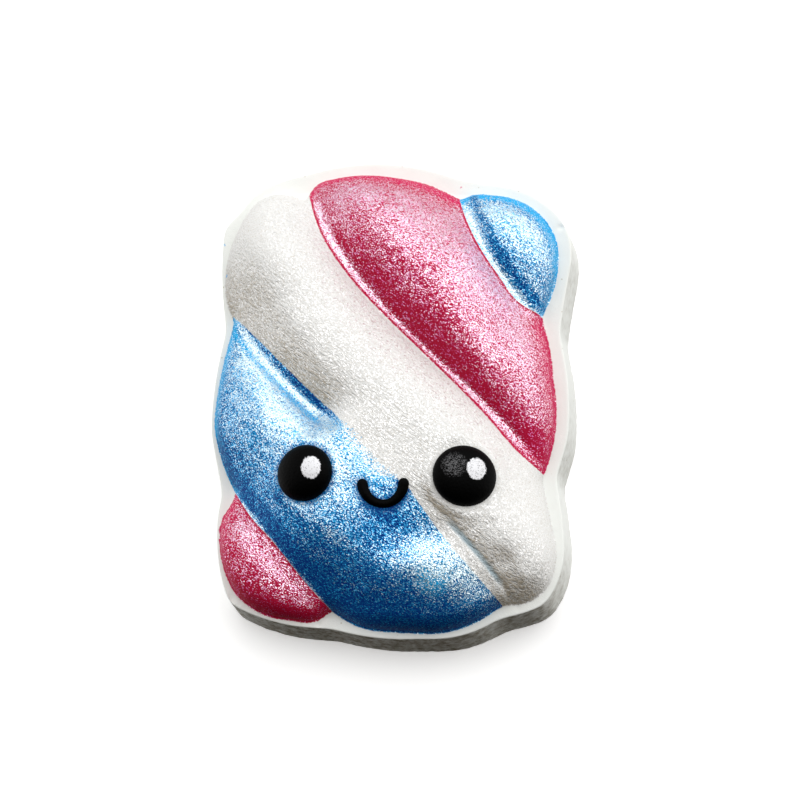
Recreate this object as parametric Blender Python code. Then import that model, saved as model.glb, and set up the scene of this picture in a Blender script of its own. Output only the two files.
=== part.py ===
"""A pressed bath bomb in the shape of a twisted marshmallow with a small smiling face.

The block is one solid. A flat slab carries a pillow-shaped relief of five slanting
lobes, and two domed eyes and a smile stand proud of the relief. The block lies on its
flat back. X runs to the right of the face, Y to its top and Z out of it, and the
origin is the middle of the back. Sizes are named in millimetres; the model is in metres.
"""
import bpy
import bmesh
import numpy as np
from functools import cache
from math import cos, pi, radians, sin, tan
from mathutils import Vector
from mathutils.geometry import delaunay_2d_cdt

MM = 0.001

# The slab: its top edge runs clockwise from the upper left. Each corner is x, y and the
# bulge of the arc that leads to the next corner. The wall leans out towards the back.
SLAB_HEIGHT = 10.5
SLAB_DRAFT = radians(4.0)
SLAB_RIM = 0.45
SLAB_SOFTNESS = 2.0
SLAB_EDGE = [
    (-32.6, 34.8, -0.4), (-27.2, 41.0, 0.6), (-16.8, 44.7, 2.0), (8.9, 44.0, -0.3),
    (18.3, 41.0, 2.0), (32.9, 32.8, 0.7), (34.3, 24.4, -0.1), (31.8, 10.5, 0.9),
    (33.0, -9.8, 0.1), (30.6, -17.0, 0.2), (32.0, -28.7, 1.2), (28.1, -40.7, 0.3),
    (19.9, -42.9, 1.3), (5.8, -46.3, 0.8), (-11.3, -44.0, 1.3), (-30.3, -38.9, 0.8),
    (-32.9, -24.5, 0.3), (-31.9, -18.3, 0.0), (-34.4, -6.4, 0.7), (-31.8, 13.9, 0.7),
]

# The foot of the relief on the slab, in the same form: a bulge for each lobe's end and a
# notch for each groove's.
RELIEF_EDGE = [
    (-28.6, 35.8, 0.5), (-24.6, 40.2, 1.3), (-16.4, 38.3, 0.5), (-14.0, 42.8, 0.9),
    (1.6, 42.7, 0.9), (13.6, 37.3, 1.0), (18.7, 38.4, 1.0), (27.8, 34.8, 0.7),
    (31.7, 27.5, 1.1), (28.2, 13.8, 0.5), (30.3, 1.6, 1.5), (27.9, -17.2, 0.0),
    (30.1, -28.6, 0.7), (29.0, -36.9, 1.5), (20.6, -40.1, 1.1), (8.2, -45.3, 0.1),
    (-3.5, -44.4, 0.6), (-11.1, -40.3, 1.4), (-18.0, -42.2, 1.3), (-29.0, -37.1, 1.3),
    (-31.9, -23.4, 0.1), (-28.8, -18.6, 0.8), (-33.6, -4.5, 0.6), (-29.9, 15.4, 0.5),
    (-32.1, 22.4, 1.0),
]
RELIEF_SOFTNESS = 1.5

# The relief rises from its foot by a short steep flank and then as a wide crown.
FLANK_RISE = 3.4
FLANK_WIDTH = 2.4
CROWN_RISE = 9.3
CROWN_WIDTH = 19.0
# The crown follows the distance to the foot, blurred by this much on a grid of this step.
CROWN_BLUR = 3.0
FIELD_STEP = 0.5
FIELD_REACH = (42.0, 52.0)

# The grooves slant down to the right. Each is how far it lies across the slant, as a
# cubic in tenths of the way along it, from the upper right corner to the lower left.
# The first and the last lie off the block and only shape the two corner lobes.
SLANT = radians(50.0)
GROOVES = [
    (56.0, -0.8, 1.1, 0.10),
    (30.0, -0.8, 1.1, 0.10),
    (10.3, 0.8, 0.16, -0.08),
    (-11.8, 1.4, 0.17, -0.07),
    (-34.4, -0.4, 0.14, 0.00),
    (-60.0, -0.4, 0.14, 0.00),
]
# A groove keeps this share of the height beside it. A lobe is steep on its lower left,
# crests before its middle and falls away gently to a narrow ledge in the next groove.
GROOVE_LEVEL = 0.58
CREST_AT = 0.42
LEDGE_AT = 0.93
LEDGE_STEP = 0.06
# The third groove is filled where it crosses the face: it fades out over the first two
# places along it, and comes back faintly over the last two, where this share of the fill
# remains.
FACE_GROOVE = 3
FACE_FILL = (-5.0, 4.0, 14.0, 27.0)
FACE_REST = 0.80
# Below the smile a shallow trough leads into the lower end of that groove. Its bottom
# runs through these places along the slant and across it, at this depth, and its widths
# are those of its lower left side and its upper right side.
TROUGH_LINE = [
    (15.0, -18.0, 0.0), (18.0, -17.2, 0.5), (20.5, -16.4, 1.0), (23.4, -15.4, 1.6), (26.0, -14.2, 1.9),
    (28.0, -12.5, 1.9), (29.5, -10.9, 1.7), (31.5, -9.0, 1.5), (34.7, -8.0, 1.3), (45.0, -8.2, 1.2),
]
TROUGH_WIDTH = (5.5, 6.2)

# The face: eyes as x, y, radius, each on a flat seat that runs out in the lobe, and the
# smile as a round bar, bent to this reach sideways and down. Its radius is given at the
# ends and at the bottom.
EYES = [(-14.1, -17.4, 5.2), (15.0, -18.7, 5.6)]
EYE_RISE = 3.4
SEAT_EDGE = (0.2, 2.4)
SMILE_CENTRE = (0.35, -19.55)
SMILE_REACH = (3.75, 4.0)
SMILE_BAR = (1.0, 0.78)
SMILE_ENDS = radians(6.0)

# The finish of each lobe from the upper right, as its place in the list of materials:
# bare cast, white, pink, blue and black.
LOBE_FINISH = (3, 2, 1, 3, 2)

# Spacing of the mesh's points, the least gap between its lattice and its lines as a share
# of that, and the shortest edge that stays.
POINT_SPACING = 1.6
LATTICE_GAP = 0.6
SLIVER = 0.04
# Rings step in from the relief's foot by these distances. Guide lines run beside each
# groove, to its lower left (negative) and its upper right, and stop short of the rings.
FOOT_STEPS = (0.5, 1.3, 2.5)
GROOVE_GUIDES = (-1.3, 0.0, 0.9, 2.1)
GROOVE_REACH = 60.0
GUIDE_END = 3.0
GROOVE_END = 1.0
# Straight steps in an arc of an outline, and sides and steps of the round features.
ARC_STEPS = 24
EYE_SIDES = 28
SMILE_SIDES = 10
SMILE_STEPS = 15
SMILE_CAP = (pi / 6.0, pi / 3.0, 0.46 * pi)


def arc_edge(corners, spacing, softness):
    """Closed outline through the corners by arcs, evenly spaced and slightly softened."""
    points = []
    for (x0, y0, bulge), (x1, y1, _) in zip(corners, corners[1:] + corners[:1]):
        start, end = np.array((x0, y0)), np.array((x1, y1))
        chord = end - start
        side = np.array((-chord[1], chord[0]))
        for t in np.linspace(0.0, 1.0, ARC_STEPS, endpoint=False):
            rise = 4.0 * t * (1.0 - t) * bulge / np.hypot(*chord)
            points.append(start + t * chord + rise * side)
    points = np.array(points)
    closed = np.vstack((points, points[:1]))
    run = np.concatenate(([0.0], np.cumsum(np.hypot(*np.diff(closed, axis=0).T))))
    count = int(round(run[-1] / spacing))
    even = np.linspace(0.0, run[-1], count, endpoint=False)
    points = np.stack([np.interp(even, run, closed[:, k]) for k in (0, 1)], axis=1)
    for _ in range(int(round((softness / spacing) ** 2))):
        points = 0.5 * points + 0.25 * (np.roll(points, 1, axis=0) + np.roll(points, -1, axis=0))
    return points


def outward(points):
    """Unit vectors that point out of a clockwise outline."""
    run = np.roll(points, -1, axis=0) - np.roll(points, 1, axis=0)
    run /= np.hypot(*run.T)[:, None]
    return np.stack((-run[:, 1], run[:, 0]), axis=1)


def depth_inside(points, edge):
    """Distance of each point to the outline, negative outside it."""
    start, end = edge, np.roll(edge, -1, axis=0)
    run = end - start
    offset = points[:, None, :] - start[None, :, :]
    t = np.clip((offset * run).sum(2) / (run * run).sum(1), 0.0, 1.0)
    distance = np.hypot(*(offset - t[..., None] * run).transpose(2, 0, 1)).min(axis=1)
    x, y = points[:, 0:1], points[:, 1:2]
    spans = (start[:, 1] > y) != (end[:, 1] > y)
    slope = (end[:, 0] - start[:, 0]) / np.where(end[:, 1] == start[:, 1], 1.0, end[:, 1] - start[:, 1])
    crossings = spans & (x < start[:, 0] + (y - start[:, 1]) * slope)
    return np.where(crossings.sum(axis=1) % 2 == 1, distance, -distance)


@cache
def depth_field():
    """Blurred depth inside the relief's foot on a grid, with the grid's places."""
    x = np.arange(-FIELD_REACH[0], FIELD_REACH[0], FIELD_STEP)
    y = np.arange(-FIELD_REACH[1], FIELD_REACH[1], FIELD_STEP)
    foot = arc_edge(RELIEF_EDGE, POINT_SPACING, RELIEF_SOFTNESS)
    grid = np.stack(np.meshgrid(x, y), axis=2).reshape(-1, 2)
    field = np.concatenate([depth_inside(part, foot) for part in np.array_split(grid, 16)])
    field = field.reshape(len(y), len(x))
    for _ in range(int(round(2.0 * (CROWN_BLUR / FIELD_STEP) ** 2))):
        for axis in (0, 1):
            field = 0.5 * field + 0.25 * (np.roll(field, 1, axis) + np.roll(field, -1, axis))
    return x, y, field


def soft_depth(points):
    """Depth inside the relief's foot, blurred so that the crown has no hips at corners."""
    x, y, field = depth_field()
    column = np.clip((points[:, 0] - x[0]) / FIELD_STEP, 0.0, len(x) - 1.001)
    row = np.clip((points[:, 1] - y[0]) / FIELD_STEP, 0.0, len(y) - 1.001)
    i, j = column.astype(int), row.astype(int)
    u, v = column - i, row - j
    below = (1.0 - u) * field[j, i] + u * field[j, i + 1]
    above = (1.0 - u) * field[j + 1, i] + u * field[j + 1, i + 1]
    return (1.0 - v) * below + v * above


def smooth_step(low, high, value):
    t = np.clip((value - low) / (high - low), 0.0, 1.0)
    return t * t * (3.0 - 2.0 * t)


def slant_axes(points):
    """How far each point lies along the slant of the grooves and across it."""
    along = points[:, 0] * cos(SLANT) - points[:, 1] * sin(SLANT)
    across = points[:, 0] * sin(SLANT) + points[:, 1] * cos(SLANT)
    return along, across


def groove_across(groove, along):
    tenth = along / 10.0
    return sum(factor * tenth ** power for power, factor in enumerate(GROOVES[groove]))


def groove_level(groove, along):
    level = np.full(len(along), GROOVE_LEVEL)
    if groove == FACE_GROOVE:
        fill = smooth_step(*FACE_FILL[:2], along)
        fill -= (1.0 - FACE_REST) * smooth_step(*FACE_FILL[2:], along)
        level += (1.0 - GROOVE_LEVEL) * fill
    return level


def lobe_shape(points):
    """Share of the pillow's height that the lobes leave at each point, and the lobe."""
    along, across = slant_axes(points)
    share = np.ones(len(points))
    lobe = np.zeros(len(points), int)
    for upper in range(len(GROOVES) - 1):
        high, low = groove_across(upper, along), groove_across(upper + 1, along)
        inside = (across < high) & (across >= low)
        place = np.clip((across - low) / (high - low), 0.0, 1.0)
        rise = np.sin(0.5 * pi * np.clip(place / CREST_AT, 0.0, 1.0)) ** 0.85
        fall = np.clip((place - CREST_AT) / (LEDGE_AT - CREST_AT), 0.0, 1.0) ** 2.2
        fall = fall * (1.0 - LEDGE_STEP) + LEDGE_STEP * smooth_step(LEDGE_AT, 1.0, place)
        from_low = 1.0 - (1.0 - groove_level(upper + 1, along)) * (1.0 - rise)
        to_high = 1.0 - (1.0 - groove_level(upper, along)) * fall
        share = np.where(inside, from_low * to_high, share)
        lobe = np.where(inside, upper, lobe)
    return share, lobe


def lobed_height(points, edge):
    """Height of the lobes above the slab, nought outside their foot."""
    depth = np.clip(depth_inside(points, edge), 0.0, None)
    flank = np.sqrt(1.0 - np.clip(1.0 - depth / FLANK_WIDTH, 0.0, 1.0) ** 2)
    crown = 1.0 - np.clip(1.0 - soft_depth(points) / CROWN_WIDTH, 0.0, 1.0) ** 2
    share, _ = lobe_shape(points)
    along, across = slant_axes(points)
    places, line, depths = np.array(TROUGH_LINE).T
    beside = across - np.interp(along, places, line)
    width = np.where(beside < 0.0, *TROUGH_WIDTH)
    trough = np.interp(along, places, depths) * np.exp(-(beside / width) ** 2)
    return (FLANK_RISE * flank + CROWN_RISE * crown) * share - trough * flank


def eye_seat(x, y, radius, edge):
    """Height of the lobe at an eye's middle, and its lean to the right and to the top."""
    turns = np.linspace(0.0, 2.0 * pi, 16, endpoint=False)
    around = np.stack((x + radius * np.cos(turns), y + radius * np.sin(turns)), axis=1)
    height = lobed_height(around, edge)
    lean_x = 2.0 * (height * np.cos(turns)).mean() / radius
    lean_y = 2.0 * (height * np.sin(turns)).mean() / radius
    return height.mean(), lean_x, lean_y


def relief_height(points, edge):
    """Height of the relief above the slab, flat under the eyes."""
    height = lobed_height(points, edge)
    for x, y, radius in EYES:
        middle, lean_x, lean_y = eye_seat(x, y, radius, edge)
        seat = middle + lean_x * (points[:, 0] - x) + lean_y * (points[:, 1] - y)
        beyond = np.hypot(points[:, 0] - x, points[:, 1] - y) - radius
        height = seat + (height - seat) * smooth_step(*SEAT_EDGE, beyond)
    return height


def groove_points(edge):
    """Lines of points down each groove and beside it, where they run inside the relief."""
    lines = []
    along = np.arange(-GROOVE_REACH, GROOVE_REACH, POINT_SPACING)
    for groove in range(1, len(GROOVES) - 1):
        for guide in GROOVE_GUIDES:
            across = groove_across(groove, along) + guide
            x = along * cos(SLANT) + across * sin(SLANT)
            y = -along * sin(SLANT) + across * cos(SLANT)
            line = np.stack((x, y), axis=1)
            keep = depth_inside(line, edge) > (GUIDE_END if guide else GROOVE_END)
            if groove == FACE_GROOVE:
                keep &= (along < FACE_FILL[1]) | (along > FACE_FILL[2])
            lines.append(line[keep])
    return lines


def lattice_points(edge, clear_of):
    """Triangular lattice inside the relief that keeps clear of its foot and the grooves."""
    rows = np.arange(edge[:, 1].min(), edge[:, 1].max(), POINT_SPACING * sin(pi / 3.0))
    columns = np.arange(edge[:, 0].min(), edge[:, 0].max(), POINT_SPACING)
    points = [(x + 0.5 * POINT_SPACING * (row % 2), y) for row, y in enumerate(rows) for x in columns]
    points = np.array(points)
    points = points[depth_inside(points, edge) > FOOT_STEPS[-1] + LATTICE_GAP * POINT_SPACING]
    gaps = np.hypot(*(points[:, None, :] - clear_of[None, :, :]).transpose(2, 0, 1)).min(axis=1)
    return points[gaps > LATTICE_GAP * POINT_SPACING]


def block_mesh():
    """Back, wall, rim and relief of the block as one closed surface."""
    rim = arc_edge(SLAB_EDGE, 1.2 * POINT_SPACING, SLAB_SOFTNESS)
    out = outward(rim)
    foot = arc_edge(RELIEF_EDGE, POINT_SPACING, RELIEF_SOFTNESS)
    top_ring = rim - SLAB_RIM * out
    plan, edges = [], []
    for ring in (top_ring, foot):
        first = len(plan)
        plan.extend(ring)
        edges.extend((first + i, first + (i + 1) % len(ring)) for i in range(len(ring)))
    for step in FOOT_STEPS:
        ring = foot - step * outward(foot)
        plan.extend(ring[depth_inside(ring, foot) > 0.8 * step])
    grooves = groove_points(foot)
    for line in grooves:
        first = len(plan)
        plan.extend(line)
        gaps = np.hypot(*np.diff(line, axis=0).T)
        edges.extend((first + i, first + i + 1) for i in np.flatnonzero(gaps < 1.5 * POINT_SPACING))
    plan.extend(lattice_points(foot, np.vstack(grooves)))

    outline = list(range(len(top_ring)))
    found, _, triangles, origins, _, _ = delaunay_2d_cdt(
        [Vector(point) for point in plan], edges, [outline], 1, 1e-4)
    found = np.array([tuple(point) for point in found])
    height = SLAB_HEIGHT + relief_height(found, foot)
    place = {source: new for new, sources in enumerate(origins) for source in sources}

    mesh = bmesh.new()
    top = [mesh.verts.new((x * MM, y * MM, z * MM)) for (x, y), z in zip(found, height)]
    for a, b, c in triangles:
        mesh.faces.new((top[a], top[b], top[c]))
    upper = [top[place[i]] for i in range(len(top_ring))]
    wall = [(SLAB_RIM * 0.3, SLAB_RIM * 0.3), (0.0, SLAB_RIM)]
    wall.append((-SLAB_HEIGHT * tan(SLAB_DRAFT), SLAB_HEIGHT))
    for inset, drop in wall:
        ring = rim - inset * out
        lower = [mesh.verts.new((x * MM, y * MM, (SLAB_HEIGHT - drop) * MM)) for x, y in ring]
        for i in range(len(ring)):
            j = (i + 1) % len(ring)
            mesh.faces.new((upper[i], upper[j], lower[j], lower[i]))
        upper = lower
    mesh.faces.new(upper)
    bmesh.ops.recalc_face_normals(mesh, faces=mesh.faces)
    return mesh, foot


def surface_height(x, y, foot):
    return SLAB_HEIGHT + float(relief_height(np.array([(x, y)]), foot)[0])


def eye_mesh(x, y, radius, foot):
    """A dome on a straight stem that reaches down into the lobe and leans as its seat does."""
    middle, lean_x, lean_y = eye_seat(x, y, radius, foot)
    mesh = bmesh.new()
    bmesh.ops.create_uvsphere(mesh, u_segments=EYE_SIDES, v_segments=EYE_SIDES // 2, radius=1.0)
    for vert in mesh.verts:
        px, py, up = vert.co
        reach = np.hypot(px, py)
        if up < 0.0 and reach > 0.01:
            px, py = px / reach, py / reach
        height = middle + radius * (lean_x * px + lean_y * py) + EYE_RISE * up
        vert.co = Vector((x + radius * px, y + radius * py, SLAB_HEIGHT + height)) * MM
    return mesh


def smile_mesh(foot):
    """A round bar bent into a smile, with rounded ends, half sunk in the surface."""
    mesh = bmesh.new()
    turns = np.linspace(pi + SMILE_ENDS, 2.0 * pi - SMILE_ENDS, SMILE_STEPS)
    centres = []
    for a in turns:
        x = SMILE_CENTRE[0] + SMILE_REACH[0] * cos(a)
        y = SMILE_CENTRE[1] + SMILE_REACH[1] * sin(a)
        size = SMILE_BAR[0] + (SMILE_BAR[1] - SMILE_BAR[0]) * sin(a) ** 2
        centres.append((np.array((x, y, surface_height(x, y, foot))), a, size))
    caps = []
    for end, sign in ((0, -1.0), (-1, 1.0)):
        middle, a, size = centres[end]
        run = sign * np.array((-sin(a), cos(a), 0.0))
        caps.append([(middle + run * size * sin(t), a, size * cos(t)) for t in SMILE_CAP])
    centres = caps[0][::-1] + centres + caps[1]
    rings = []
    for middle, a, size in centres:
        out = np.array((cos(a), sin(a), 0.0))
        ring = []
        for k in range(SMILE_SIDES):
            b = 2.0 * pi * k / SMILE_SIDES
            point = middle + size * (cos(b) * out + sin(b) * np.array((0.0, 0.0, 1.0)))
            ring.append(mesh.verts.new(point * MM))
        rings.append(ring)
    for near, far in zip(rings, rings[1:]):
        for k in range(SMILE_SIDES):
            beside = (k + 1) % SMILE_SIDES
            mesh.faces.new((near[k], near[beside], far[beside], far[k]))
    mesh.faces.new(rings[0])
    mesh.faces.new(rings[-1])
    bmesh.ops.recalc_face_normals(mesh, faces=mesh.faces)
    return mesh


def merge_slivers(data):
    """Close the hairline edges that the union leaves where a feature crosses the relief."""
    mesh = bmesh.new()
    mesh.from_mesh(data)
    bmesh.ops.remove_doubles(mesh, verts=mesh.verts, dist=SLIVER * MM)
    bmesh.ops.dissolve_degenerate(mesh, edges=mesh.edges, dist=SLIVER * MM)
    bmesh.ops.triangulate(mesh, faces=[face for face in mesh.faces if len(face.verts) > 4])
    mesh.to_mesh(data)
    mesh.free()


def finish(name, colour, roughness, metallic):
    material = bpy.data.materials.new(name)
    material.use_nodes = True
    shader = material.node_tree.nodes["Principled BSDF"]
    shader.inputs["Base Color"].default_value = (*colour, 1.0)
    shader.inputs["Roughness"].default_value = roughness
    shader.inputs["Metallic"].default_value = metallic
    return material


def make_object(name, mesh, materials, collection):
    data = bpy.data.meshes.new(name)
    mesh.to_mesh(data)
    mesh.free()
    for material in materials:
        data.materials.append(material)
    made = bpy.data.objects.new(name, data)
    collection.objects.link(made)
    return made


def paint_faces(block, foot):
    """One finish for each lobe, bare cast on the slab, black on the eyes and the smile."""
    data = block.data
    black = len(data.materials) - 1
    centres = np.array([tuple(face.center) for face in data.polygons]) / MM
    depth = depth_inside(centres[:, :2], foot)
    _, lobes = lobe_shape(centres[:, :2])
    for face, inside, lobe in zip(data.polygons, depth, lobes):
        if face.material_index != black:
            face.material_index = LOBE_FINISH[lobe] if inside > 0.0 else 0


def main():
    for old in list(bpy.data.objects):
        bpy.data.objects.remove(old)
    scene = bpy.context.scene
    finishes = [
        finish("bare_cast", (0.84, 0.83, 0.78), 0.9, 0.0),
        finish("pearl_white_paint", (0.80, 0.79, 0.77), 0.45, 0.3),
        finish("pearl_pink_paint", (0.60, 0.06, 0.17), 0.45, 0.5),
        finish("pearl_blue_paint", (0.06, 0.27, 0.68), 0.45, 0.5),
        finish("black_paint", (0.006, 0.006, 0.007), 0.45, 0.0),
    ]
    mesh, foot = block_mesh()
    block = make_object("twist_block", mesh, finishes, scene.collection)
    features = bpy.data.collections.new("features")
    for number, (x, y, radius) in enumerate(EYES):
        make_object("eye_%d" % number, eye_mesh(x, y, radius, foot), finishes[4:], features)
    make_object("smile", smile_mesh(foot), finishes[4:], features)
    joiner = block.modifiers.new("features", "BOOLEAN")
    joiner.operation = "UNION"
    joiner.operand_type = "COLLECTION"
    joiner.collection = features
    scene.collection.children.link(features)
    graph = bpy.context.evaluated_depsgraph_get()
    joined = bpy.data.meshes.new_from_object(block.evaluated_get(graph))
    block.modifiers.clear()
    block.data = joined
    for feature in list(features.objects):
        bpy.data.objects.remove(feature)
    bpy.data.collections.remove(features)
    merge_slivers(joined)
    paint_faces(block, foot)
    block.data.shade_smooth()
    block.data.set_sharp_from_angle(angle=radians(35.0))


main()
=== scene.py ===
"""Looks of a pressed bath bomb: a twisted marshmallow with a small smiling face.

The sections follow the bath bomb as it is made: the studio it is photographed in, the
cast block with its paints, the eyes and the smile. Sizes are named in millimetres and
colours as sRGB hex values.
"""
from functools import cache
from math import cos, pi, radians, sin, tan

import bmesh
import bpy
import numpy as np
from mathutils import Matrix, Vector, noise
from mathutils.geometry import delaunay_2d_cdt


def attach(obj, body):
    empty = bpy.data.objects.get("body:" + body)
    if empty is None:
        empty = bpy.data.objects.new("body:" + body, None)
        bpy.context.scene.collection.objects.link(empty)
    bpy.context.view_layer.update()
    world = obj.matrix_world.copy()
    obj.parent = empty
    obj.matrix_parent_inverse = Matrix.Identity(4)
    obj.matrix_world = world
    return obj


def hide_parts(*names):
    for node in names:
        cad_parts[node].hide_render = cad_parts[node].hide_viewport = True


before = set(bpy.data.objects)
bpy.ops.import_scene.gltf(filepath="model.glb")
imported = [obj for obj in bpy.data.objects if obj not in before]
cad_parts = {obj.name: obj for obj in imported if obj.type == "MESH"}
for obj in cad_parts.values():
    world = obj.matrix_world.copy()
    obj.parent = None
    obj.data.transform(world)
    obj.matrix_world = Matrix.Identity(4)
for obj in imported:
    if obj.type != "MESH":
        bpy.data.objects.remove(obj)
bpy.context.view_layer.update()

# ---------------------------------------------------------------------------------------
# The camera: a long lens that looks almost straight down on the face, from a little
# below its chin and a little to its right. The picture is 800 pixels wide.
# ---------------------------------------------------------------------------------------
MM = 0.001
LOOKS_AT = Vector((1.9, -1.5, 12.0))
LEAN_TO_THE_RIGHT = radians(8.0)
LEAN_TO_THE_CHIN = radians(15.0)
LENS_DISTANCE = 430.0
PICTURE_WIDTH = 800
PIXELS_PER_MM = 5.35
SENSOR = 36.0

towards_lens = Vector((tan(LEAN_TO_THE_RIGHT), -tan(LEAN_TO_THE_CHIN), 1.0)).normalized()
picture_right = Vector((0.0, 1.0, 0.0)).cross(towards_lens).normalized()
picture_up = towards_lens.cross(picture_right)
lens_place = (LOOKS_AT + LENS_DISTANCE * towards_lens) * MM

camera_data = bpy.data.cameras.new("camera")
camera_data.sensor_width = SENSOR
camera_data.lens = PIXELS_PER_MM * LENS_DISTANCE * SENSOR / PICTURE_WIDTH
camera = bpy.data.objects.new("camera", camera_data)
camera.matrix_world = Matrix.Translation(lens_place) @ Matrix(
    (picture_right, picture_up, towards_lens)).transposed().to_4x4()
bpy.context.scene.collection.objects.link(camera)
bpy.context.scene.camera = camera
bpy.context.scene.view_settings.view_transform = "Standard"

# ---------------------------------------------------------------------------------------
# The studio: a white sheet under the block, one large softbox above its upper right, and
# a white tent round it that is open towards the camera, so the lower edge falls dark.
# ---------------------------------------------------------------------------------------
SOFTBOX_SIDE = 950.0
SOFTBOX_AWAY = 620.0
SOFTBOX_FROM = Vector((0.20, 0.54, 0.82))
SOFTBOX_WATTS = 4.20
SHEET_SIDE = 6000.0
SHEET_GLOW = 0.31
TENT_GLOW = 0.60
# How much more the tent's sides glow: from this far sideways, full at, and by how much.
TENT_SIDE_FROM, TENT_SIDE_FULL, TENT_SIDE_GLOW = 0.50, 1.0, 1.3
TENT_OPENING = 0.01
# The opening's edge, from open to shut, as a heading towards the back, where the sides
# count as a little further back than they are. The roof shuts over the last pair.
TENT_EDGE = (-0.40, 0.12)
TENT_SIDES = 0.18
TENT_ROOF = (0.70, 1.00)


def linear(hex_colour):
    """An sRGB hex colour as the linear colour that the shaders take."""
    parts = [int(hex_colour[k:k + 2], 16) / 255.0 for k in (1, 3, 5)]
    parts = [p / 12.92 if p <= 0.04045 else ((p + 0.055) / 1.055) ** 2.4 for p in parts]
    return (*parts, 1.0)


def add_node(tree, kind, inputs=(), **settings):
    """Add a node with its settings. Its inputs come in their own order, or by name.

    A socket among them is linked, a node is linked by its first output that is in use,
    and anything else is set as the input's value.
    """
    node = tree.nodes.new("ShaderNode" + kind)
    for name, value in settings.items():
        setattr(node, name, value)
    for socket, value in inputs.items() if isinstance(inputs, dict) else enumerate(inputs):
        if isinstance(value, bpy.types.Node):
            value = next(output for output in value.outputs if output.enabled)
        if isinstance(value, bpy.types.NodeSocket):
            tree.links.new(value, node.inputs[socket])
        else:
            node.inputs[socket].default_value = value
    return node


softbox_data = bpy.data.lights.new("softbox", "AREA")
softbox_data.shape = "SQUARE"
softbox_data.size = SOFTBOX_SIDE * MM
softbox_data.energy = SOFTBOX_WATTS
softbox = bpy.data.objects.new("softbox", softbox_data)
softbox.location = SOFTBOX_FROM.normalized() * SOFTBOX_AWAY * MM
softbox.rotation_euler = SOFTBOX_FROM.to_track_quat("Z", "Y").to_euler()
bpy.context.scene.collection.objects.link(softbox)

# White tent cloth, a little warm where the room shows through its opening.
tent = bpy.data.worlds.new("tent")
tent.use_nodes = True
sky = tent.node_tree
sky.nodes.clear()
heading = add_node(sky, "TexCoord").outputs["Generated"]
heading = add_node(sky, "SeparateXYZ", (heading,)).outputs
sideways = add_node(sky, "Math", (heading["X"],), operation="ABSOLUTE")
backwards = add_node(sky, "Math", (sideways, TENT_SIDES, heading["Y"]), operation="MULTIPLY_ADD")
wall = add_node(sky, "MapRange", (backwards, *TENT_EDGE), interpolation_type="SMOOTHSTEP")
roof = add_node(sky, "MapRange", (heading["Z"], *TENT_ROOF), interpolation_type="SMOOTHSTEP")
shut = add_node(sky, "Math", (wall, roof), operation="MAXIMUM")
glow = add_node(sky, "MapRange", (sideways, TENT_SIDE_FROM, TENT_SIDE_FULL, 0.0, TENT_SIDE_GLOW))
glow = add_node(sky, "Math", (TENT_GLOW, glow), operation="ADD")
glow = add_node(sky, "Math", (shut, glow, TENT_OPENING), operation="MULTIPLY_ADD")
cloth = add_node(sky, "Mix", {
    "Factor": shut, "A": linear("#F2E2CC"), "B": linear("#FFFFFF")}, data_type="RGBA")
background = add_node(sky, "Background", {"Color": cloth, "Strength": glow})
add_node(sky, "OutputWorld", {"Surface": background})
bpy.context.scene.world = tent

sheet_mesh = bpy.data.meshes.new("sheet")
reach = 0.5 * SHEET_SIDE * MM
corners = [(-reach, -reach, 0), (reach, -reach, 0), (reach, reach, 0), (-reach, reach, 0)]
sheet_mesh.from_pydata(corners, [], [(0, 1, 2, 3)])
sheet = bpy.data.objects.new("sheet", sheet_mesh)
bpy.context.scene.collection.objects.link(sheet)
# Matte white acrylic, faintly lit from below as on a light table, so shadows stay pale.
acrylic_sheet = bpy.data.materials.new("acrylic_sheet")
acrylic_sheet.use_nodes = True
shader = acrylic_sheet.node_tree.nodes["Principled BSDF"]
shader.inputs["Base Color"].default_value = linear("#F8F8F8")
shader.inputs["Roughness"].default_value = 0.9
shader.inputs["Specular IOR Level"].default_value = 0.2
shader.inputs["Emission Color"].default_value = linear("#FFFFFF")
shader.inputs["Emission Strength"].default_value = SHEET_GLOW
sheet_mesh.materials.append(acrylic_sheet)
# The tent's lower half stands for the light that the sheet throws back up.
sheet.visible_diffuse = False
sheet.visible_glossy = False
sheet.visible_shadow = False

# ---------------------------------------------------------------------------------------
# The cast block: bicarbonate and citric acid powder with a binder, pressed wet into a
# silicone mould, dried and brushed with mica paints. A flat slab carries a pillow of five
# slanting lobes.
# ---------------------------------------------------------------------------------------
SLAB_HEIGHT = 10.5
SLAB_DRAFT = radians(4.0)
SLAB_SOFTNESS = 2.0
# Corners of the slab's top edge as x, y and the bulge of the arc to the next corner.
SLAB_EDGE = [
    (-32.6, 34.8, -0.4), (-27.2, 41.0, 0.6), (-16.8, 44.7, 2.0), (8.9, 44.0, -0.3),
    (18.3, 41.0, 2.0), (32.9, 32.8, 0.7), (34.3, 24.4, -0.1), (31.8, 10.5, 0.9),
    (33.0, -9.8, 0.1), (30.6, -17.0, 0.2), (32.0, -28.7, 1.2), (28.1, -40.7, 0.3),
    (19.9, -42.9, 1.3), (5.8, -46.3, 0.8), (-11.3, -44.0, 1.3), (-30.3, -38.9, 0.8),
    (-32.9, -24.5, 0.3), (-31.9, -18.3, 0.0), (-34.4, -6.4, 0.7), (-31.8, 13.9, 0.7),
]
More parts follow.
